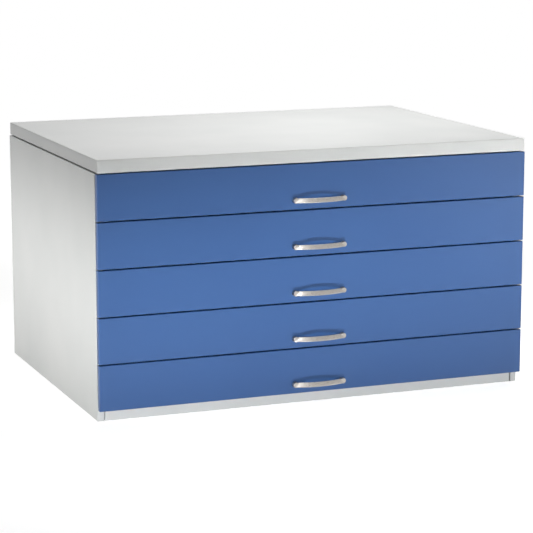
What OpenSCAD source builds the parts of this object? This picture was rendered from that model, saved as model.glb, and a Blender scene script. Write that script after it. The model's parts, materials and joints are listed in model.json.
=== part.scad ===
// Flat file cabinet: a free-standing steel chest of full-extension drawers for large sheets.
// X is the width, the drawers open towards -Y, and Z is up from the floor.
// The origin is under the middle of the whole cabinet, handles and rear screw heads included.

/* [Cabinet] */
// Overall width
cab_w = 1350; // [1000:10:1500]
// Depth from the face of the drawer fronts to the rear flanges
cab_d = 960; // [760:10:1060]
// Overall height
cab_h = 760; // [700:10:900]
// Number of drawers
drawers = 5; // [3:1:5]
// Thickness of the carcass sheet
carcass_t = 1.2; // [0.8:0.1:2]
// Width of the flanges folded in at the front and rear of each side panel
flange_w = 20; // [16:1:30]
// Height of the plinth zone under the lowest drawer front
plinth_zone = 35; // [30:1:60]

/* [Top plate] */
// Height of the skirt folded down around the top plate
skirt_h = 38; // [25:1:50]
// Thickness of the top sheet
top_t = 1.5; // [1:0.1:2]
// How far the top plate stands in from each side panel
top_inset = 2; // [0:0.5:5]
// Shadow gap between the skirt and the drawer fronts
top_gap = 3; // [2:0.5:5]
// Radius of the top plate's corners
top_r = 5; // [3:0.5:10]

/* [Drawer fronts] */
// Thickness of the folded front pan
pan_d = 18; // [14:1:24]
// Gap between the back of a closed pan and the carcass
stand_off = 8.5; // [5:0.5:12]
// Gap between one front and the next
front_gap = 3.5; // [2:0.5:5]
// How far a front stands in from each side panel
front_inset = 3.5; // [2:0.5:6]
// Thickness of the drawer sheet
sheet_t = 1; // [0.8:0.1:1.5]

/* [Handles] */
// Distance between the two foot centres
handle_span = 152; // [96:1:192]
// How far the bar stands out from the front
handle_out = 30; // [25:1:40]
// Width of the flat bar
bar_w = 15.5; // [10:0.5:18]
// Thickness of the bar
bar_t = 4; // [3:0.5:7]
// How far the bar's face leans back at its upper edge
bar_lean = 30; // [0:5:35]
// Diameter of the round feet
foot_d = 17; // [15:1:22]
// Height of the handle above the lower edge of the front
handle_z = 28; // [20:1:50]

/* [Drawers] */
// Depth of the fixed hood over the rear of the tray
hood_d = 120; // [60:5:200]
// Radius of the rod that the hold-down flap turns on
flap_rod_r = 3; // [2:0.5:4]

/* [Hidden] */
ROOT_NODES = [
    "left_side_panel", "right_side_panel", "back_panel", "base_panel", "plinth_panel", "top_plate",
    "top_front_rail", "top_mid_rail", "top_rear_rail", "slide_uprights", "outer_slides",
    "levelling_feet", "front_buffers", "panel_screws"];
DRAWER_NODES = [
    "drawer_tray", "drawer_front", "handle", "handle_screws", "inner_slides", "middle_slides",
    "rear_hood", "hold_down_flap", "flap_rod"];
$fn = 48;

// Depth stations, front to back
screw_head_h = 2;
front_y = handle_out - (cab_d + handle_out + screw_head_h) / 2;
back_y = front_y + cab_d;
pan_back_y = front_y + pan_d;
flange_y = pan_back_y + stand_off;
lip_d = 12;                                     // depth of the lip folded behind a flange
inside_y = flange_y + lip_d;
back_panel_y = back_y - 2 * carcass_t;          // front face of the back panel

// Widths, as distances from the middle
half_w = cab_w / 2;
skin_x = half_w - carcass_t;
opening_x = half_w - flange_w;
upright_x = opening_x + 1;
slide_w = 20;                                   // room for one telescopic slide
tray_x = upright_x - slide_w;
front_x = half_w - front_inset;

// Heights
skirt_z = cab_h - skirt_h;
carcass_top = skirt_z - top_gap;
front_h = (carcass_top - plinth_zone - (drawers - 1) * front_gap) / drawers;
pitch = front_h + front_gap;
base_z = 24;
plinth_h = 48;
fold_w = 25;                                    // flanges folded in at the top and foot of a side

// One drawer, measured up from the lower edge of its front
tray_z = 16;
tray_h = front_h - 34;
tray_top = tray_z + tray_h;
tray_back_y = back_y - 40;
slide_z = tray_z + 50;
slide_front_y = inside_y + 3;
flap_d = tray_h - 16;
flap_y = pan_back_y + sheet_t + 11;
flap_z = tray_z + sheet_t + 8;
knuckle_r = flap_rod_r + 2;
rod_play = 0.05;
hood_z = tray_top - 6;

// Handle geometry
foot_reach = 15;                                // how far a foot stands out under the bar
bar_depth = bar_t + (bar_w - bar_t) * sin(bar_lean);
bar_y = front_y - handle_out + bar_depth / 2;   // middle of the bar at its furthest point
bar_end_y = front_y - foot_reach + bar_depth / 2;
bow = bar_end_y - bar_y;
bow_r = (pow(handle_span / 2, 2) + pow(bow, 2)) / (2 * bow);
bow_angle = asin(handle_span / 2 / bow_r);
screw_r = 2;
rear_screw_r = 2;

function drawer_z(n) = plinth_zone + (drawers - n) * pitch;

// ---- shared shapes ----

module block(lo, hi) {
    translate(lo) cube(hi - lo);
}

module both_sides() {
    children();
    mirror([1, 0, 0]) children();
}

// A channel along Y: its web is on the outer side, or on the inner side when web_in is true
module channel_y(x_in, x_out, half_h, t, y_from, y_to, web_in = false) {
    translate([0, y_to, 0]) rotate([90, 0, 0]) linear_extrude(y_to - y_from)
        difference() {
            translate([x_in, -half_h]) square([x_out - x_in, 2 * half_h]);
            translate([web_in ? x_in + t : x_in - t, t - half_h])
                square([x_out - x_in, 2 * (half_h - t)]);
        }
}

// A channel along X standing on the side panels, open to the rear
module channel_x(half_l, y_from, y_to, z_from, z_to, t) {
    difference() {
        block([-half_l, y_from, z_from], [half_l, y_to, z_to]);
        block([-half_l - 1, y_from + t, z_from + t], [half_l + 1, y_to + 1, z_to - t]);
    }
}

module rod_x(half_l, r, y, z) {
    translate([-half_l, y, z]) rotate([0, 90, 0]) cylinder(r = r, h = 2 * half_l);
}

// Outline of the top plate, drawn in by a margin
module plate_outline(margin) {
    x = half_w - top_inset - margin;
    r = max(top_r - margin, 1);
    for (sx = [-1, 1], y = [front_y + margin + r, back_y - margin - r])
        translate([sx * (x - r), y]) circle(r);
    translate([-x, front_y + margin + r]) square([2 * x, cab_d - 2 * margin - 2 * r]);
    translate([r - x, front_y + margin]) square([2 * (x - r), cab_d - 2 * margin]);
}

// ---- carcass ----

module side_panel() {
    color("gainsboro") difference() {
        union() {
            block([skin_x, flange_y, 0], [half_w, back_y, carcass_top]);
            block([opening_x, flange_y, 0], [half_w, flange_y + carcass_t, carcass_top]);
            block([opening_x, flange_y, 0], [opening_x + carcass_t, inside_y, carcass_top]);
            block([opening_x, back_y - carcass_t, 0], [half_w, back_y, carcass_top]);
            block([half_w - fold_w, flange_y, carcass_top - carcass_t], [half_w, back_y, carcass_top]);
            block([half_w - fold_w, inside_y, 0], [half_w, back_y, carcass_t]);
        }
        rear_screws() screw_hole();
    }
}

module left_side_panel() {
    mirror([1, 0, 0]) side_panel();
}

module right_side_panel() {
    side_panel();
}

module back_panel() {
    edge = skin_x - 1;
    color("gainsboro") difference() {
        block([-edge, back_panel_y, 2], [edge, back_panel_y + carcass_t, carcass_top - carcass_t]);
        both_sides() rear_screws() screw_hole();
    }
}

// The bottom sheet, with a stiffening fold along its front and rear edges
module base_panel() {
    fold_h = 18;
    color("gainsboro") difference() {
        union() {
            block([-skin_x, inside_y, base_z], [skin_x, back_panel_y, base_z + carcass_t]);
            for (y = [inside_y, back_panel_y - carcass_t])
                block([-opening_x, y, base_z - fold_h], [opening_x, y + carcass_t, base_z + carcass_t]);
        }
        foot_places() translate([0, 0, base_z - 1]) cylinder(r = foot_stud_r + 0.3, h = carcass_t + 2);
    }
}

module plinth_panel() {
    seam = 3;
    x = opening_x - seam;
    color("gainsboro") difference() {
        block([-x, flange_y, 0], [x, inside_y, plinth_h]);
        block([carcass_t - x, flange_y + carcass_t, carcass_t],
              [x - carcass_t, inside_y + 1, plinth_h - carcass_t]);
    }
}

turn_in = 15;                                   // width of the edge turned in under the skirt

module top_plate() {
    color("whitesmoke") difference() {
        translate([0, 0, skirt_z]) linear_extrude(skirt_h) plate_outline(0);
        translate([0, 0, skirt_z + top_t]) linear_extrude(skirt_h - 2 * top_t) plate_outline(top_t);
        translate([0, 0, skirt_z - 1]) linear_extrude(top_t + 2) plate_outline(turn_in);
    }
}

// Rails on the side panels that carry the top plate, inside its turned-in edge
rail_x = half_w - top_inset - turn_in - 1;
rail_w = 40;
rail_front_y = flange_y + 6;
rail_rear_y = back_y - 24 - rail_w;

module top_rail(y) {
    color("silver") channel_x(rail_x, y, y + rail_w, carcass_top, cab_h - top_t, carcass_t);
}

module top_front_rail() {
    top_rail(rail_front_y);
}

module top_mid_rail() {
    top_rail((rail_front_y + rail_rear_y) / 2);
}

module top_rear_rail() {
    top_rail(rail_rear_y);
}

// Four folded posts, two on each side, that carry the fixed slide members
module slide_uprights() {
    post_w = 40;
    post_t = 1.5;
    color("silver") both_sides()
        for (y = [slide_front_y, tray_back_y - post_w])
            difference() {
                block([upright_x, y, base_z + carcass_t], [skin_x, y + post_w, carcass_top - carcass_t]);
                block([upright_x + post_t, y + post_t, base_z], [skin_x + 1, y + post_w - post_t, cab_h]);
            }
}

// ---- telescopic slides: three channels, one inside the other ----

module outer_slides() {
    color("lightgray") for (n = [1:drawers])
        translate([0, 0, drawer_z(n) + slide_z]) both_sides()
            channel_y(tray_x + 6, upright_x, 26, 2, slide_front_y, tray_back_y);
}

module middle_slides() {
    color("silver") translate([0, 0, slide_z]) both_sides()
        channel_y(tray_x + 4.5, tray_x + 15.5, 21.5, 1.5, slide_front_y, tray_back_y - 30);
}

module inner_slides() {
    color("lightgray") translate([0, 0, slide_z]) both_sides()
        channel_y(tray_x, tray_x + 11, 17.5, 1.5, slide_front_y - 8, tray_back_y - 8, web_in = true);
}

// ---- feet, buffers and screws ----

foot_stud_r = 5;

module foot_places() {
    for (x = [-1, 1] * (half_w - 45), y = [flange_y + 34, back_y - 34])
        translate([x, y, 0]) children();
}

module levelling_feet() {
    pad_r = 16;
    pad_h = 7;
    nut_r = 9;
    nut_h = 8;
    color("dimgray") foot_places() {
        cylinder(r = pad_r, h = pad_h);
        translate([0, 0, pad_h - 1]) cylinder(r = foot_stud_r, h = base_z + 16 - pad_h);
        translate([0, 0, base_z - nut_h]) difference() {
            cylinder(r = nut_r, h = nut_h, $fn = 6);
            translate([0, 0, -1]) cylinder(r = foot_stud_r, h = nut_h + 2);
        }
    }
}

// Rubber buffers on the front flanges, which each closed front stands just clear of
module front_buffers() {
    buffer_r = 5;
    clear = 0.3;
    color("black") both_sides() for (n = [1:drawers])
        translate([opening_x + flange_w / 2, flange_y, drawer_z(n) + front_h / 2])
            rotate([90, 0, 0]) cylinder(r = buffer_r, h = stand_off - clear);
}

// Places of the rear screws on one side, each with +Z pointing out of the back
module rear_screws() {
    rows = 6;
    margin = 40;
    step = (carcass_top - 2 * margin) / (rows - 1);
    for (i = [0:rows - 1])
        translate([half_w - flange_w / 2, back_y, margin + i * step]) rotate([-90, 0, 0]) children();
}

module screw_hole() {
    translate([0, 0, -10]) cylinder(r = rear_screw_r + 0.1, h = 20);
}

// Pan-head screws that hold the back panel to the rear flanges
module panel_screws() {
    color("silver") both_sides() rear_screws() {
        cylinder(r = 2 * rear_screw_r, h = screw_head_h);
        translate([0, 0, -8]) cylinder(r = rear_screw_r, h = 9);
    }
}

// ---- one drawer ----

module drawer_front() {
    color("royalblue") difference() {
        block([-front_x, front_y, 0], [front_x, pan_back_y, front_h]);
        block([sheet_t - front_x, front_y + sheet_t, sheet_t],
              [front_x - sheet_t, pan_back_y - sheet_t, front_h - sheet_t]);
        block([lip_d - front_x, front_y + sheet_t, lip_d], [front_x - lip_d, pan_back_y + 1, front_h - lip_d]);
        handle_feet() rotate([-90, 0, 0]) translate([0, 0, -1]) cylinder(r = screw_r + 0.2, h = sheet_t + 2);
    }
}

module handle_feet() {
    for (x = [-1, 1] * handle_span / 2) translate([x, front_y, handle_z]) children();
}

// A bowed flat bar with round edges, leaning back, on two round feet
module handle() {
    color("lightgray") difference() {
        union() {
            translate([0, bar_y + bow_r, handle_z]) rotate([0, 0, 270 - bow_angle])
                rotate_extrude(angle = 2 * bow_angle, $fn = 96) translate([bow_r, 0]) rotate(bar_lean) {
                    square([bar_t, bar_w - bar_t], center = true);
                    for (z = [-1, 1] * (bar_w - bar_t) / 2) translate([0, z]) circle(bar_t / 2);
                }
            handle_feet() rotate([90, 0, 0]) cylinder(r = foot_d / 2, h = foot_reach);
        }
        handle_feet() rotate([90, 0, 0]) translate([0, 0, -1]) cylinder(r = screw_r + 0.05, h = 9);
    }
}

module handle_screws() {
    head_h = 2.5;
    color("silver") handle_feet() rotate([90, 0, 0]) {
        translate([0, 0, -sheet_t - head_h]) cylinder(r = 2 * screw_r, h = head_h);
        translate([0, 0, -sheet_t - 1]) cylinder(r = screw_r, h = sheet_t + 8);
    }
}

module drawer_tray() {
    inner_x = tray_x - sheet_t;
    color("gainsboro") difference() {
        block([-tray_x, pan_back_y, tray_z], [tray_x, tray_back_y, tray_top]);
        block([-inner_x, pan_back_y + sheet_t, tray_z + sheet_t],
              [inner_x, tray_back_y - sheet_t, tray_top + 1]);
        rod_x(tray_x + 1, flap_rod_r, flap_y, flap_z);
    }
}

// A fixed cover over the rear of the tray, which keeps sheets from riding over the back wall
module rear_hood() {
    inner_x = tray_x - sheet_t;
    inner_y = tray_back_y - sheet_t;
    edge_h = 12;
    color("gainsboro") difference() {
        block([-inner_x, inner_y - hood_d, hood_z - edge_h], [inner_x, inner_y, hood_z]);
        block([-inner_x - 1, inner_y - hood_d + sheet_t, hood_z - edge_h - 1],
              [inner_x + 1, inner_y - sheet_t, hood_z - sheet_t]);
    }
}

// A hinged strip that lies on the front edge of the sheets and swings up against the front wall
module hold_down_flap() {
    half_l = tray_x - 8;
    edge_h = 7;
    foot_z = flap_z - knuckle_r;
    color("silver") difference() {
        union() {
            rod_x(half_l, knuckle_r, flap_y, flap_z);
            block([-half_l, flap_y, foot_z], [half_l, flap_y + flap_d, foot_z + sheet_t]);
            block([-half_l, flap_y + flap_d - sheet_t, foot_z], [half_l, flap_y + flap_d, foot_z + edge_h]);
        }
        rod_x(half_l + 1, flap_rod_r + rod_play, flap_y, flap_z);
    }
}

module flap_rod() {
    color("silver") rod_x(tray_x, flap_rod_r, flap_y, flap_z);
}

// ---- nodes ----

left_side_panel();
right_side_panel();
back_panel();
base_panel();
plinth_panel();
top_plate();
top_front_rail();
top_mid_rail();
top_rear_rail();
slide_uprights();
outer_slides();
levelling_feet();
front_buffers();
panel_screws();
for (n = [1:drawers]) translate([0, 0, drawer_z(n)]) {
    drawer_tray();
    drawer_front();
    handle();
    handle_screws();
    inner_slides();
    middle_slides();
    rear_hood();
    hold_down_flap();
    flap_rod();
}
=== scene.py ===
# Flat file cabinet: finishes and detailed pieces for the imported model.
# Everything is in metres, except that patterns, folds, screws and handles are given in millimetres.
import json
import math

import bmesh
import bpy
from mathutils import Matrix, Vector

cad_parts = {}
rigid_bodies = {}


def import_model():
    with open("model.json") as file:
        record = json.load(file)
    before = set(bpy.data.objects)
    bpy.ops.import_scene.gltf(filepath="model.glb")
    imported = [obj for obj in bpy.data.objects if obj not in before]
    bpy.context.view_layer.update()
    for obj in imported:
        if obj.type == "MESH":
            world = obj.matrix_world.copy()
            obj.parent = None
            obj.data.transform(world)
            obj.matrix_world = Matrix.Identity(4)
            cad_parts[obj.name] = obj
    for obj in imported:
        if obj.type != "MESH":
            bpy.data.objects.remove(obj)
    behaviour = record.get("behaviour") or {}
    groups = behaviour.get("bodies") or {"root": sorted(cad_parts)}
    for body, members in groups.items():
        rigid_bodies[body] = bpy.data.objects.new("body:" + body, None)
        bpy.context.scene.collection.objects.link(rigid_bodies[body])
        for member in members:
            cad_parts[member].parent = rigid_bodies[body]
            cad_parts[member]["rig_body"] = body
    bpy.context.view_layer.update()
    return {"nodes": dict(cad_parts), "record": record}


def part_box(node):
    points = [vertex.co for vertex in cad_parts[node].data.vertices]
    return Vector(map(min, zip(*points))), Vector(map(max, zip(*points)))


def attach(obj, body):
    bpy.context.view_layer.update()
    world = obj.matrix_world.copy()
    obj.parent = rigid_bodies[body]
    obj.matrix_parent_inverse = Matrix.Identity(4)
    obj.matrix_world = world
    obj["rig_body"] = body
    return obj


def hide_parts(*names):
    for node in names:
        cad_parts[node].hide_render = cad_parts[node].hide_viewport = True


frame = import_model()
mm = 0.001
nodes = frame["nodes"]
record = frame["record"]
slotOf = {part["node"]: part["material_slot"] for part in record["subparts"]}
drawerNumbers = sorted(int(name.split("_")[-1]) for name in nodes if name.startswith("drawer_front_"))
print("frame:", len(nodes), "nodes,", len(drawerNumbers), "drawers")


def linearColour(hexCode):
    # sRGB hex to the linear values that shaders use
    channels = [int(hexCode[i:i + 2], 16) / 255 for i in (1, 3, 5)]
    return [c / 12.92 if c <= 0.04045 else ((c + 0.055) / 1.055) ** 2.4 for c in channels] + [1.0]


def addNode(tree, kind, settings=None, links=None):
    # settings go to the node or to its inputs, links map an input to another node's output
    node = tree.nodes.new(kind)
    for key, value in (settings or {}).items():
        if isinstance(key, int) or key in node.inputs:
            node.inputs[key].default_value = value
        else:
            setattr(node, key, value)
    for key, source in (links or {}).items():
        tree.links.new(source, node.inputs[key])
    return node


def newMaterial(name):
    material = bpy.data.materials.new(name)
    material.use_nodes = True
    material.node_tree.nodes.clear()
    return material, material.node_tree


def closeMaterial(tree, shader):
    addNode(tree, "ShaderNodeOutputMaterial", links={"Surface": shader.outputs[0]})


def setTones(ramp, look, low=0.0, high=1.0):
    # the ramp runs from the finish's dark tone to its light one
    for element, position, tone in zip(ramp.color_ramp.elements, (low, high), ("dark", "light")):
        element.position = position
        element.color = linearColour(look[tone])


def addSheen(tree, pattern, roughness, swing):
    # a noise pattern mostly stays between 0.3 and 0.7, which becomes the roughness and its swing
    return addNode(tree, "ShaderNodeMapRange",
                   {"From Min": 0.3, "From Max": 0.7, "To Min": roughness - swing,
                    "To Max": roughness + swing}, {"Value": pattern})


coatPattern = {"speckShare": 0.15, "toneFrom": 0.35, "toneTo": 0.8, "sheenSwing": 0.01, "peelDeepMm": 0.4}


def powderCoatedSteel(name, look):
    # Polyester powder baked on sheet steel: a satin skin with a fine orange peel, which softens
    # the highlights and makes broad faces drift slightly in tone.
    material, tree = newMaterial(name)
    place = addNode(tree, "ShaderNodeTexCoord")
    drift = addNode(tree, "ShaderNodeTexNoise",
                    {"Scale": 1 / (look["driftMm"] * mm), "Detail": 2.0, "Roughness": 0.5},
                    {"Vector": place.outputs["Object"]})
    speck = addNode(tree, "ShaderNodeTexNoise",
                    {"Scale": 1 / (look["speckMm"] * mm), "Detail": 3.0, "Roughness": 0.6},
                    {"Vector": place.outputs["Object"]})
    both = addNode(tree, "ShaderNodeMath", {"operation": "MULTIPLY_ADD", 1: coatPattern["speckShare"]},
                   {0: speck.outputs["Fac"], 2: drift.outputs["Fac"]})
    tone = addNode(tree, "ShaderNodeValToRGB", links={"Fac": both.outputs[0]})
    setTones(tone, look, coatPattern["toneFrom"], coatPattern["toneTo"])
    sheen = addSheen(tree, speck.outputs["Fac"], look["roughness"], coatPattern["sheenSwing"])
    # the real peel is about 1 mm across, drawn coarser so that it shows
    peel = addNode(tree, "ShaderNodeTexNoise",
                   {"Scale": 1 / (look["peelMm"] * mm), "Detail": 2.0, "Roughness": 0.55},
                   {"Vector": place.outputs["Object"]})
    bump = addNode(tree, "ShaderNodeBump",
                   {"Strength": look["peel"], "Distance": coatPattern["peelDeepMm"] * mm},
                   {"Height": peel.outputs["Fac"]})
    shader = addNode(tree, "ShaderNodeBsdfPrincipled", {"IOR": 1.5},
                     {"Base Color": tone.outputs["Color"], "Roughness": sheen.outputs["Result"],
                      "Normal": bump.outputs["Normal"]})
    closeMaterial(tree, shader)
    return material


platePattern = {"toneFrom": 0.3, "toneTo": 0.7, "sheenSwing": 0.05, "grooveDeepMm": 0.2}


def platedSteel(name, look):
    # Zinc or nickel on steel. Along the grain direction the noise is stretched, which draws the
    # fine drawn or brushed lines that spread its highlights.
    material, tree = newMaterial(name)
    place = addNode(tree, "ShaderNodeTexCoord")
    stretch = addNode(tree, "ShaderNodeMapping", {"Scale": look["grain"]},
                      {"Vector": place.outputs["Object"]})
    lines = addNode(tree, "ShaderNodeTexNoise",
                    {"Scale": 1 / (look["lineMm"] * mm), "Detail": 4.0, "Roughness": 0.6},
                    {"Vector": stretch.outputs["Vector"]})
    tone = addNode(tree, "ShaderNodeValToRGB", links={"Fac": lines.outputs["Fac"]})
    setTones(tone, look, platePattern["toneFrom"], platePattern["toneTo"])
    sheen = addSheen(tree, lines.outputs["Fac"], look["roughness"], platePattern["sheenSwing"])
    bump = addNode(tree, "ShaderNodeBump",
                   {"Strength": look["groove"], "Distance": platePattern["grooveDeepMm"] * mm},
                   {"Height": lines.outputs["Fac"]})
    shader = addNode(tree, "ShaderNodeBsdfPrincipled", {"Metallic": 1.0},
                     {"Base Color": tone.outputs["Color"], "Roughness": sheen.outputs["Result"],
                      "Normal": bump.outputs["Normal"]})
    closeMaterial(tree, shader)
    return material


def galvanisedSteel(name, look):
    # Hot-dip zinc: crystals a few millimetres wide, each a slightly different grey
    material, tree = newMaterial(name)
    place = addNode(tree, "ShaderNodeTexCoord")
    spangle = addNode(tree, "ShaderNodeTexVoronoi", {"Scale": 1 / (look["spangleMm"] * mm)},
                      {"Vector": place.outputs["Object"]})
    tone = addNode(tree, "ShaderNodeValToRGB", links={"Fac": spangle.outputs["Color"]})
    setTones(tone, look)
    sheen = addNode(tree, "ShaderNodeMapRange",
                    {"To Min": look["roughness"] - look["sheenSwing"],
                     "To Max": look["roughness"] + look["sheenSwing"]}, {"Value": spangle.outputs["Color"]})
    shader = addNode(tree, "ShaderNodeBsdfPrincipled", {"Metallic": 1.0},
                     {"Base Color": tone.outputs["Color"], "Roughness": sheen.outputs["Result"]})
    closeMaterial(tree, shader)
    return material


def mouldedPolymer(name, look):
    # Moulded nylon or rubber: nearly black, with the faint grain of the mould
    material, tree = newMaterial(name)
    place = addNode(tree, "ShaderNodeTexCoord")
    grain = addNode(tree, "ShaderNodeTexNoise", {"Scale": 1 / (look["grainMm"] * mm), "Detail": 3.0},
                    {"Vector": place.outputs["Object"]})
    tone = addNode(tree, "ShaderNodeValToRGB", links={"Fac": grain.outputs["Fac"]})
    setTones(tone, look)
    bump = addNode(tree, "ShaderNodeBump",
                   {"Strength": look["grainRelief"], "Distance": look["grainDeepMm"] * mm},
                   {"Height": grain.outputs["Fac"]})
    shader = addNode(tree, "ShaderNodeBsdfPrincipled",
                     {"IOR": look["ior"], "Roughness": look["roughness"]},
                     {"Base Color": tone.outputs["Color"], "Normal": bump.outputs["Normal"]})
    closeMaterial(tree, shader)
    return material


# hex tones of each finish, and the size in millimetres of what varies over it
lightGrey = {"dark": "#D2D4D2", "light": "#DADBD9", "driftMm": 260, "speckMm": 9,
             "peelMm": 5, "peel": 0.08, "roughness": 0.36}
gentianBlue = {"dark": "#275087", "light": "#2A538A", "driftMm": 300, "speckMm": 9,
               "peelMm": 5, "peel": 0.05, "roughness": 0.40}
trayGrey = {"dark": "#CDCFCE", "light": "#D6D7D6", "driftMm": 200, "speckMm": 9,
            "peelMm": 5, "peel": 0.12, "roughness": 0.46}
satinNickel = {"dark": "#A29E99", "light": "#A9A5A0", "grain": (0.03, 1.0, 1.0), "lineMm": 0.8,
               "roughness": 0.30, "groove": 0.03}
brightZinc = {"dark": "#A9ADB0", "light": "#C3C6C8", "grain": (1.0, 0.04, 1.0), "lineMm": 2.0,
              "roughness": 0.30, "groove": 0.08}
screwZinc = {"dark": "#A7A9AA", "light": "#C8CACB", "grain": (1.0, 1.0, 1.0), "lineMm": 1.0,
             "roughness": 0.30, "groove": 0.08}
hotDipZinc = {"dark": "#8F9599", "light": "#B4B9BC", "spangleMm": 9, "roughness": 0.42,
              "sheenSwing": 0.06}
blackNylon = {"dark": "#1B1B1C", "light": "#262627", "grainMm": 1.5, "grainRelief": 0.2,
              "grainDeepMm": 0.2, "roughness": 0.5, "ior": 1.53}
blackRubber = {"dark": "#141414", "light": "#1E1E1E", "grainMm": 1.0, "grainRelief": 0.2,
               "grainDeepMm": 0.2, "roughness": 0.8, "ior": 1.52}

finishes = {
    "carcass_paint": powderCoatedSteel("light_grey_powder_coated_steel", lightGrey),
    "front_paint": powderCoatedSteel("gentian_blue_powder_coated_steel", gentianBlue),
    "tray_paint": powderCoatedSteel("grey_powder_coated_drawer_steel", trayGrey),
    "handle_metal": platedSteel("satin_nickel_plated_zinc", satinNickel),
    "slide_steel": platedSteel("bright_zinc_plated_steel", brightZinc),
    "screw_steel": platedSteel("zinc_plated_screw_steel", screwZinc),
    "galvanised_steel": galvanisedSteel("hot_dip_galvanised_steel", hotDipZinc),
    "foot_plastic": mouldedPolymer("moulded_black_nylon", blackNylon),
    "buffer_rubber": mouldedPolymer("black_rubber", blackRubber),
}
for name, node in nodes.items():
    node.data.materials.clear()
    node.data.materials.append(finishes[slotOf[name]])
print("materials:", len(finishes))


def roundedRectangle(halfU, halfV, radius, steps):
    points = []
    for quarter, (signU, signV) in enumerate(((1, 1), (-1, 1), (-1, -1), (1, -1))):
        for step in range(steps + 1):
            angle = math.radians(90) * (quarter + step / steps)
            points.append((signU * (halfU - radius) + radius * math.cos(angle),
                           signV * (halfV - radius) + radius * math.sin(angle)))
    return points


def arcPoints(centre, radius, fromDegrees, toDegrees, steps):
    turn = [math.radians(fromDegrees + (toDegrees - fromDegrees) * i / steps) for i in range(steps + 1)]
    return [(centre[0] + radius * math.cos(a), centre[1] + radius * math.sin(a)) for a in turn]


sheetMesh = {"bendSteps": 5, "tightestMm": 0.1, "tightestCornerMm": 0.4, "sharpDegrees": 40}


def panProfile(fold):
    # (inward margin, depth behind the face) from the face, round the bends and back along the inside
    t, bend, depth, lip = (fold[key] * mm for key in ("sheet", "bend", "depth", "lip"))
    inner = max(bend - t, sheetMesh["tightestMm"] * mm)
    steps = sheetMesh["bendSteps"]
    path = arcPoints((bend, bend), bend, 270, 180, steps)
    if lip:
        path += arcPoints((bend, depth - bend), bend, 180, 90, steps)
        path += [(lip, depth), (lip, depth - t)]
        path += arcPoints((bend, depth - bend), inner, 90, 180, steps)
    else:
        path += [(0, depth), (t, depth)]
    path += arcPoints((bend, bend), inner, 180, 270, steps)
    return path


def foldedPan(name, low, high, faceAxis, fold):
    # A sheet folded back on all four sides. faceAxis says which way its flat face looks.
    axis = "XYZ".index(faceAxis[1])
    side = 1 if faceAxis[0] == "+" else -1
    uAxis, vAxis = [i for i in range(3) if i != axis]
    halfU, halfV = (high[uAxis] - low[uAxis]) / 2, (high[vAxis] - low[vAxis]) / 2
    centre = (low + high) / 2
    face = high[axis] if side > 0 else low[axis]
    mesh = bmesh.new()
    rings = []
    for margin, depth in panProfile(fold):
        corner = max(fold["corner"] * mm - margin, sheetMesh["tightestCornerMm"] * mm)
        ring = []
        for u, v in roundedRectangle(halfU - margin, halfV - margin, corner, fold["steps"]):
            point = Vector((0, 0, 0))
            point[uAxis], point[vAxis] = centre[uAxis] + u, centre[vAxis] + v
            point[axis] = face - side * depth
            ring.append(mesh.verts.new(point))
        rings.append(ring)
    count = len(rings[0])
    for first, second in zip(rings, rings[1:]):
        for i in range(count):
            mesh.faces.new((first[i], first[(i + 1) % count], second[(i + 1) % count], second[i]))
    mesh.faces.new(rings[0])
    mesh.faces.new(list(reversed(rings[-1])))
    return finishMesh(name, mesh)


def finishMesh(name, mesh):
    bmesh.ops.recalc_face_normals(mesh, faces=mesh.faces)
    data = bpy.data.meshes.new(name)
    mesh.to_mesh(data)
    mesh.free()
    for polygon in data.polygons:
        polygon.use_smooth = True
    data.set_sharp_from_angle(angle=math.radians(sheetMesh["sharpDegrees"]))
    piece = bpy.data.objects.new(name, data)
    bpy.context.scene.collection.objects.link(piece)
    weighted = piece.modifiers.new("weightedNormals", "WEIGHTED_NORMAL")
    weighted.keep_sharp = True
    weighted.weight = 100  # the broad faces stay flat and the bends take up the turn
    return piece


def sweepRings(mesh, rings):
    # joins rings of the same length into a closed skin
    made = [[mesh.verts.new(point) for point in ring] for ring in rings]
    count = len(made[0])
    for first, second in zip(made, made[1:]):
        for j in range(count):
            mesh.faces.new((first[j], first[(j + 1) % count], second[(j + 1) % count], second[j]))
    mesh.faces.new(made[0])
    mesh.faces.new(list(reversed(made[-1])))


def addBlock(mesh, low, high):
    place = Matrix.Translation((low + high) / 2) @ Matrix.Diagonal((*(high - low), 1))
    bmesh.ops.create_cube(mesh, size=1, matrix=place)


def join(pieces):
    # the first piece takes in the others
    bpy.ops.object.select_all(action="DESELECT")
    for piece in pieces:
        piece.select_set(True)
    bpy.context.view_layer.objects.active = pieces[0]
    bpy.ops.object.join()
    return pieces[0]


def standFor(piece, node):
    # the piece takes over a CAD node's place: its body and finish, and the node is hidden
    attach(piece, nodes[node]["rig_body"])
    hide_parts(node)
    piece.data.materials.clear()
    piece.data.materials.append(finishes[slotOf[node]])
    return piece


topFold = {"sheet": 1.5, "bend": 3.0, "depth": 38.0, "lip": 15.0, "corner": 5.0, "steps": 8}
sideFold = {"sheet": 1.2, "bend": 2.5, "depth": 20.0, "lip": 0.0, "corner": 2.0, "steps": 4,
            "frontLip": 12.0}
plinthFold = {"sheet": 1.2, "bend": 2.0, "depth": 12.0, "lip": 0.0, "corner": 1.5, "steps": 3}


def makeTopPlate():
    low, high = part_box("top_plate")
    standFor(foldedPan("topPlate", low, high, "+Z", topFold), "top_plate")


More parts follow.
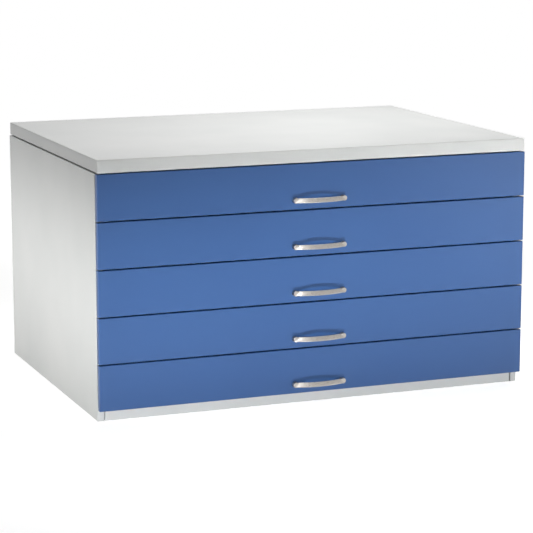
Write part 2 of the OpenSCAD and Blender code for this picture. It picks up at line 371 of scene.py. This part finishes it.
def makeSidePanel(node, name, outward):
    low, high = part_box(node)
    inward = 1 if outward == "-X" else -1
    outer = low.x if inward > 0 else high.x
    inner = outer + inward * sideFold["depth"] * mm
    across = sorted((outer, inner))
    panel = foldedPan(name, Vector((across[0], low.y, low.z)), Vector((across[1], high.y, high.z)),
                      outward, sideFold)
    # the lip that turns back from the front flange
    across = sorted((inner, inner - inward * sideFold["sheet"] * mm))
    lip = bmesh.new()
    addBlock(lip, Vector((across[0], low.y, low.z)),
             Vector((across[1], low.y + sideFold["frontLip"] * mm, high.z)))
    standFor(join([panel, finishMesh(name + "Lip", lip)]), node)


def makePlinth():
    low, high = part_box("plinth_panel")
    standFor(foldedPan("plinthPanel", low, high, "-Y", plinthFold), "plinth_panel")


screwLook = {
    "headRadius": 4.0,
    "proud": 2.0,
    # shares of the head's radius and height, from the flat crown over the shoulder to the shank
    "crown": ((0.55, 0), (0.75, 0.12), (0.9, 0.35), (1.0, 0.8), (1.0, 1.0), (0.5, 1.0)),
    "steps": 28,
    "slotWidth": 1.1,
    "slotLength": 4.6,
    "slotDepth": 1.3,
    "uprightShare": 0.98,   # the recess's upright arm is a hair narrower than the level one
    "shank": 8.0,
    "topWithin": 0.1,       # the CAD vertices this close to the box's rear face mark the heads
    "spacing": 20.0,        # and those closer together than this belong to one screw
}


def makePanelScrews():
    # pan-head screws with a cross recess, one at each place where the CAD node has one
    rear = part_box("panel_screws")[1].y
    spots = {}
    for vertex in nodes["panel_screws"].data.vertices:
        if vertex.co.y > rear - screwLook["topWithin"] * mm:
            key = (vertex.co.x > 0, round(vertex.co.z / (screwLook["spacing"] * mm)))
            spots.setdefault(key, []).append(vertex.co.copy())
    centres = [sum(points, Vector()) / len(points) for points in spots.values()]
    mesh = bmesh.new()
    radius, proud = screwLook["headRadius"] * mm, screwLook["proud"] * mm
    turns = [2 * math.pi * j / screwLook["steps"] for j in range(screwLook["steps"])]
    for centre in centres:
        centre.y = rear
        rings = [[centre + Vector((radius * width * math.cos(turn), -proud * back,
                                   radius * width * math.sin(turn))) for turn in turns]
                 for width, back in screwLook["crown"]]
        shank = Vector((0, screwLook["shank"] * mm, 0))
        rings.append([point - shank for point in rings[-1]])
        sweepRings(mesh, rings)
    head = finishMesh("panelScrews", mesh)
    cutter = bmesh.new()
    for centre in centres:
        half = Vector((screwLook["slotLength"] / 2, screwLook["slotDepth"], screwLook["slotWidth"] / 2)) * mm
        addBlock(cutter, centre - half, centre + half)
        half.x, half.z = half.z * screwLook["uprightShare"], half.x
        addBlock(cutter, centre - half, centre + half)
    crosses = finishMesh("crossRecesses", cutter)
    cut = head.modifiers.new("recess", "BOOLEAN")
    cut.object = crosses
    cut.solver = "EXACT"
    cut.use_self = True
    graph = bpy.context.evaluated_depsgraph_get()
    shaped = bpy.data.meshes.new_from_object(head.evaluated_get(graph))
    head.modifiers.clear()
    head.data = shaped
    bpy.data.objects.remove(crosses)
    standFor(head, "panel_screws")


makeTopPlate()
makeSidePanel("left_side_panel", "leftSidePanel", "-X")
makeSidePanel("right_side_panel", "rightSidePanel", "+X")
makePlinth()
makePanelScrews()
print("carcass: top plate, two sides, plinth, rear screws")


frontFold = {"sheet": 1.0, "bend": 2.4, "depth": 18.0, "lip": 11.0, "corner": 1.2, "steps": 3}
trayFold = {"sheet": 1.0, "bend": 2.2, "depth": 100.0, "lip": 6.0, "corner": 3.0, "steps": 4}


def makeFront(number):
    low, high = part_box(f"drawer_front_{number}")
    # the bent ends are level with the side panels' outer faces, so no bright edge shows past them
    low.x, high.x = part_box("left_side_panel")[0].x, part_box("right_side_panel")[1].x
    standFor(foldedPan(f"drawerFront_{number}", low, high, "-Y", frontFold), f"drawer_front_{number}")


def makeTray(number):
    low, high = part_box(f"drawer_tray_{number}")
    standFor(foldedPan(f"drawerTray_{number}", low, high, "-Z", trayFold), f"drawer_tray_{number}")


handleLook = {
    "barWidth": 15.5,       # of the bow's flat section
    "barThickness": 4.0,
    "leanDegrees": 30.0,    # its face leans back at the upper edge
    "footRadius": 8.7,
    "footReach": 15.0,      # how far the bow's ends stand off the front
    "edgeRound": 0.9,       # share of the largest radius that the bar's edges could have
    "bluntShare": 0.95,     # the ends reach this share of a foot's radius past its middle
    "endTurnDegrees": 86,   # how far round each blunt end is drawn
    "endFullness": 0.6,     # below 1 is blunter than a round end
    "endThinnest": 0.6,     # share of the bar's thickness left at its tips
    # shares of a foot's height and radius, from its base over a slight waist to under the bar
    "stem": ((0, 1.0), (0.12, 1.0), (0.3, 0.96), (0.6, 0.94), (1.0, 0.93)),
    "stemShare": 0.92,      # the stem ends inside the bar
    "barSteps": 64,
    "endSteps": 8,
    "sectionSteps": 32,
    "skin": 0.7,            # the casting is remeshed at this size, then relaxed into fillets
    "relax": 8,
    "relaxFactor": 0.5,
}


def flatRing(centre, across, up, thickness, width):
    # a flat section with round edges, leaning back by the bar's own angle
    lean = math.radians(handleLook["leanDegrees"])
    face = across * math.cos(lean) + up * math.sin(lean)
    along = up * math.cos(lean) - across * math.sin(lean)
    edge = handleLook["edgeRound"] * min(thickness, width) / 2
    section = roundedRectangle(thickness / 2, width / 2, edge, handleLook["sectionSteps"] // 4 - 1)
    return [centre + face * u + along * v for u, v in section]


def handleMesh(low, high):
    # A cast bow: a flat bar on a shallow arc, with blunt ends that stand on round feet
    thickness, width = handleLook["barThickness"] * mm, handleLook["barWidth"] * mm
    lean = math.radians(handleLook["leanDegrees"])
    halfAcross = (thickness + (width - thickness) * math.sin(lean)) / 2
    foot = handleLook["footRadius"] * mm
    reach = high.y - low.y - halfAcross
    endReach = handleLook["footReach"] * mm - halfAcross
    footX = (high.x - low.x) / 2 - foot
    rise = reach - endReach
    radius = (footX ** 2 + rise ** 2) / (2 * rise)
    sweep = math.asin(footX / radius)
    middle = Vector(((low.x + high.x) / 2, high.y, (low.z + high.z) / 2))
    up = Vector((0, 0, 1))

    def onBow(angle):
        # the bar's middle line at this angle, and the direction square to it
        out = reach - radius + radius * math.cos(angle)
        return (middle + Vector((radius * math.sin(angle), -out, 0)),
                Vector((math.sin(angle), -math.cos(angle), 0)))

    casting = bmesh.new()
    steps = handleLook["barSteps"]
    rings = []
    for i in range(-steps, steps + 1):
        centre, across = onBow(sweep * i / steps)
        rings.append(flatRing(centre, across, up, thickness, width))
    blunt = foot * handleLook["bluntShare"]
    for side in (-1, 1):
        angle = sweep * side
        centre, across = onBow(angle)
        along = Vector((math.cos(angle), math.sin(angle), 0)) * side
        ends = []
        for i in range(1, handleLook["endSteps"] + 1):
            turn = math.radians(handleLook["endTurnDegrees"]) * i / handleLook["endSteps"]
            shrink = math.cos(turn) ** handleLook["endFullness"]
            ends.append(flatRing(centre + along * blunt * math.sin(turn), across, up,
                                 thickness * max(shrink, handleLook["endThinnest"]), width * shrink))
        rings = rings + ends if side > 0 else list(reversed(ends)) + rings
    sweepRings(casting, rings)
    height = handleLook["footReach"] * mm * handleLook["stemShare"]
    turns = [2 * math.pi * j / handleLook["sectionSteps"] for j in range(handleLook["sectionSteps"])]
    for side in (-1, 1):
        base = middle + Vector((side * footX, 0, 0))
        sweepRings(casting, [[base + Vector((foot * share * math.cos(turn), -out * height,
                                             foot * share * math.sin(turn))) for turn in turns]
                             for out, share in handleLook["stem"]])
    bmesh.ops.recalc_face_normals(casting, faces=casting.faces)
    data = bpy.data.meshes.new("bowHandle")
    casting.to_mesh(data)
    casting.free()
    rough = bpy.data.objects.new("roughCasting", data)
    bpy.context.scene.collection.objects.link(rough)
    remesh = rough.modifiers.new("skin", "REMESH")
    remesh.mode = "VOXEL"
    remesh.voxel_size = handleLook["skin"] * mm
    relax = rough.modifiers.new("fillets", "SMOOTH")
    relax.factor = handleLook["relaxFactor"]
    relax.iterations = handleLook["relax"]
    graph = bpy.context.evaluated_depsgraph_get()
    cast = bpy.data.meshes.new_from_object(rough.evaluated_get(graph))
    bpy.data.objects.remove(rough)
    for vertex in cast.vertices:
        # the feet sit flat on the front, and nothing reaches past the real handle's size
        vertex.co.y = min(max(vertex.co.y, low.y), high.y)
    for polygon in cast.polygons:
        polygon.use_smooth = True
    return cast


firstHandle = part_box(f"handle_{drawerNumbers[0]}")
castHandle = handleMesh(*firstHandle)


def makeHandle(number):
    low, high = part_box(f"handle_{number}")
    handle = bpy.data.objects.new(f"bowHandle_{number}", castHandle.copy())
    bpy.context.scene.collection.objects.link(handle)
    handle.data.transform(Matrix.Translation((low + high) / 2 - (firstHandle[0] + firstHandle[1]) / 2))
    standFor(handle, f"handle_{number}")


for number in drawerNumbers:
    makeFront(number)
    makeTray(number)
    makeHandle(number)
print("drawers:", len(drawerNumbers), "fronts, trays and handles")


cameraSet = {"place": (-2.357, -6.060, 1.563), "headingDegrees": 21.4, "downDegrees": 10.74,
             "lensMm": 142.1, "sensorMm": 36, "farthest": 200}
floorSet = {"size": 60.0, "below": 0.0002, "paint": "#ECECEB", "glow": 0.74, "near": 1.3, "far": 3.5}
# each box: place and aim in metres, size (width, height), and in degrees the spread that a grid
# leaves it and its tilt about its own axis
softboxes = {
    "backOverhead": {"place": (0.3, 3.2, 2.6), "aim": (0, 0, 0.7), "size": (3.0, 1.6), "watts": 22.0},
    "topGrid": {"place": (0.8, 0.2, 2.6), "aim": (0.35, 0, 0.76), "size": (1.2, 1.6), "watts": 9.3,
                "spread": 80},
    "floorWash": {"place": (0.1, -1.6, 1.6), "aim": (0.1, -1.5, 0), "size": (1.8, 0.6), "watts": 1.5,
                  "spread": 60},
    "handleGlint": {"place": (-1.0, -2.9, 3.3), "aim": (0, -0.49, 0.34), "size": (0.8, 0.6), "watts": 2.0,
                    "spread": 60},
    "lowFill": {"place": (3.0, -3.2, 0.3), "aim": (0.3, -0.4, 0.35), "size": (1.6, 1.2), "watts": 28.0},
    "frontStrip": {"place": (-0.9, -3.0, 0.85), "aim": (0.1, -0.466, 0.33), "size": (2.6, 0.4), "watts": 2.5,
                   "spread": 30, "tilt": 9.8},
    "leftStrip": {"place": (-2.8, -0.2, 0.34), "aim": (-0.675, -0.1, 0.34), "size": (2.2, 0.4), "watts": 3.5,
                  "spread": 30},
    "tableFront": {"place": (-0.29, -4.61, -2.71), "aim": (0, -0.466, 0.42), "size": (2.4, 0.35),
                   "watts": 3.85, "spread": 12, "tilt": 3.0},
}


def makeCamera():
    data = bpy.data.cameras.new("mainCamera")
    data.lens = cameraSet["lensMm"]
    data.sensor_width = cameraSet["sensorMm"]
    data.clip_end = cameraSet["farthest"]
    camera = bpy.data.objects.new("mainCamera", data)
    camera.location = cameraSet["place"]
    camera.rotation_euler = (math.radians(90 - cameraSet["downDegrees"]), 0,
                             -math.radians(cameraSet["headingDegrees"]))
    bpy.context.scene.collection.objects.link(camera)
    bpy.context.scene.camera = camera


def seenDirectly(tree):
    # 1 for rays that come from the camera, a mirror or glass, and 0 for light that falls on things
    path = addNode(tree, "ShaderNodeLightPath")
    either = addNode(tree, "ShaderNodeMath", {"operation": "MAXIMUM"},
                     {0: path.outputs["Is Camera Ray"], 1: path.outputs["Is Glossy Ray"]})
    return addNode(tree, "ShaderNodeMath", {"operation": "MAXIMUM"},
                   {0: either.outputs[0], 1: path.outputs["Is Transmission Ray"]})


def makeFloor():
    # a matt white light table: it glows less close to the cabinet, where the softboxes' light and
    # the soft shadow show, and reads as white further out
    material, tree = newMaterial("matt_white_studio_floor")
    place = addNode(tree, "ShaderNodeTexCoord")
    away = addNode(tree, "ShaderNodeVectorMath", {"operation": "LENGTH"}, {0: place.outputs["Object"]})
    level = addNode(tree, "ShaderNodeMapRange",
                    {"interpolation_type": "SMOOTHSTEP", "From Min": floorSet["near"],
                     "From Max": floorSet["far"], "To Min": floorSet["glow"], "To Max": 1.0},
                    {"Value": away.outputs["Value"]})
    paint = addNode(tree, "ShaderNodeBsdfDiffuse", {"Color": linearColour(floorSet["paint"])})
    glow = addNode(tree, "ShaderNodeEmission", links={"Strength": level.outputs["Result"]})
    dark = addNode(tree, "ShaderNodeEmission", {"Strength": 0.0})
    shown = addNode(tree, "ShaderNodeMixShader",
                    links={0: seenDirectly(tree).outputs[0], 1: dark.outputs[0], 2: glow.outputs[0]})
    table = addNode(tree, "ShaderNodeAddShader", links={0: paint.outputs[0], 1: shown.outputs[0]})
    closeMaterial(tree, table)
    mesh = bmesh.new()
    bmesh.ops.create_grid(mesh, x_segments=1, y_segments=1, size=floorSet["size"] / 2)
    data = bpy.data.meshes.new("studioFloor")
    mesh.to_mesh(data)
    mesh.free()
    floor = bpy.data.objects.new("studioFloor", data)
    floor.location.z = -floorSet["below"]
    floor.visible_shadow = False  # the table is translucent, so the lamp under it shines through
    floor.data.materials.append(material)
    bpy.context.scene.collection.objects.link(floor)


def makeWorld():
    world = bpy.data.worlds.new("studioWorld")
    world.use_nodes = True
    tree = world.node_tree
    tree.nodes.clear()
    unlit = addNode(tree, "ShaderNodeBackground", {"Strength": 0.0})  # the softboxes give all the light
    white = addNode(tree, "ShaderNodeBackground", {"Color": (1, 1, 1, 1), "Strength": 1.0})
    mix = addNode(tree, "ShaderNodeMixShader",
                  links={0: seenDirectly(tree).outputs[0], 1: unlit.outputs[0], 2: white.outputs[0]})
    addNode(tree, "ShaderNodeOutputWorld", links={"Surface": mix.outputs[0]})
    bpy.context.scene.world = world


def makeSoftbox(name, box):
    data = bpy.data.lights.new(name, "AREA")
    data.shape = "RECTANGLE"
    data.size, data.size_y = box["size"]
    data.energy = box["watts"]
    data.spread = math.radians(box.get("spread", 180))  # a grid in front of the box narrows its beam
    if box["place"][2] < 0:
        data.cycles.use_multiple_importance_sampling = False  # only its direct light passes the table
    lamp = bpy.data.objects.new(name, data)
    lamp.location = box["place"]
    towards = Vector(box["aim"]) - Vector(box["place"])
    turn = Matrix.Rotation(math.radians(box.get("tilt", 0)), 3, "Z")
    lamp.rotation_euler = (towards.to_track_quat("-Z", "Y").to_matrix() @ turn).to_euler()
    lamp.visible_camera = False
    bpy.context.scene.collection.objects.link(lamp)


makeCamera()
makeFloor()
makeWorld()
for name, box in softboxes.items():
    makeSoftbox(name, box)
bpy.context.scene.view_settings.view_transform = "Standard"
print("stage: camera, floor,", len(softboxes), "softboxes")
